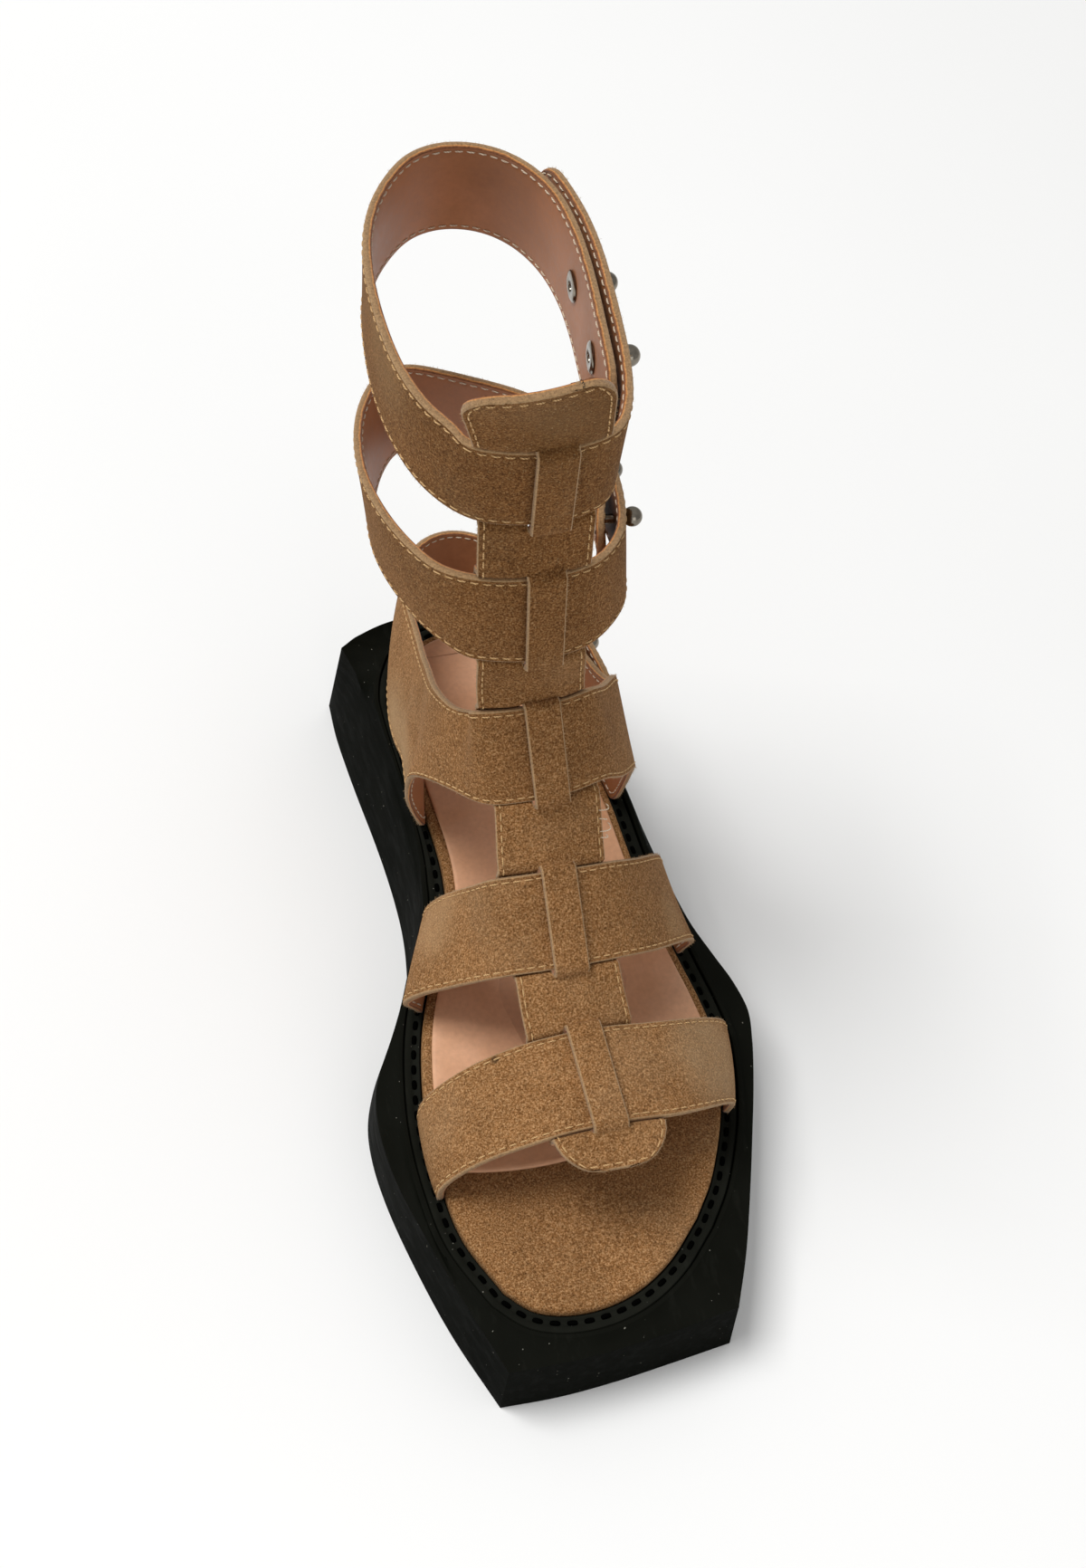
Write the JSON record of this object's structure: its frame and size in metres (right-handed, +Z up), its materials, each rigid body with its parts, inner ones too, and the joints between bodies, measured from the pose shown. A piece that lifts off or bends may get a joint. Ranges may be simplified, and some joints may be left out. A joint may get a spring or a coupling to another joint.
{
  "type": "gladiator sandal",
  "caption": "Flat ankle-high gladiator sandal with a slit centre tongue, cross straps closed by ball studs, and a faceted wedge sole.",
  "frame": {"origin": "on the floor under the middle of the sole's length and width", "axes": "+X to the outer side of the foot, +Y to the heel, +Z up"},
  "size_m": [0.1242, 0.2782, 0.2577],
  "materials": {
    "sole_rubber": "matte moulded",
    "welt_rubber": "matte, stitched",
    "suede": "olive tan suede, smooth lining",
    "sock_leather": "smooth, pinkish tan",
    "nickel": "dark polished nickel"
  },
  "bodies": {
    "root": {"outsole": "sole_rubber", "welt": "welt_rubber", "insole": "suede", "sock": "sock_leather", "tongue": "suede", "toe_strap": "suede", "instep_strap": "suede", "quarter_strap": "suede", "lower_ankle_strap": "suede", "top_ankle_strap": "suede", "stud_quarter_1": "nickel", "stud_quarter_2": "nickel", "stud_lower_1": "nickel", "stud_lower_2": "nickel", "stud_top_1": "nickel", "stud_top_2": "nickel"}
  },
  "joints": []
}
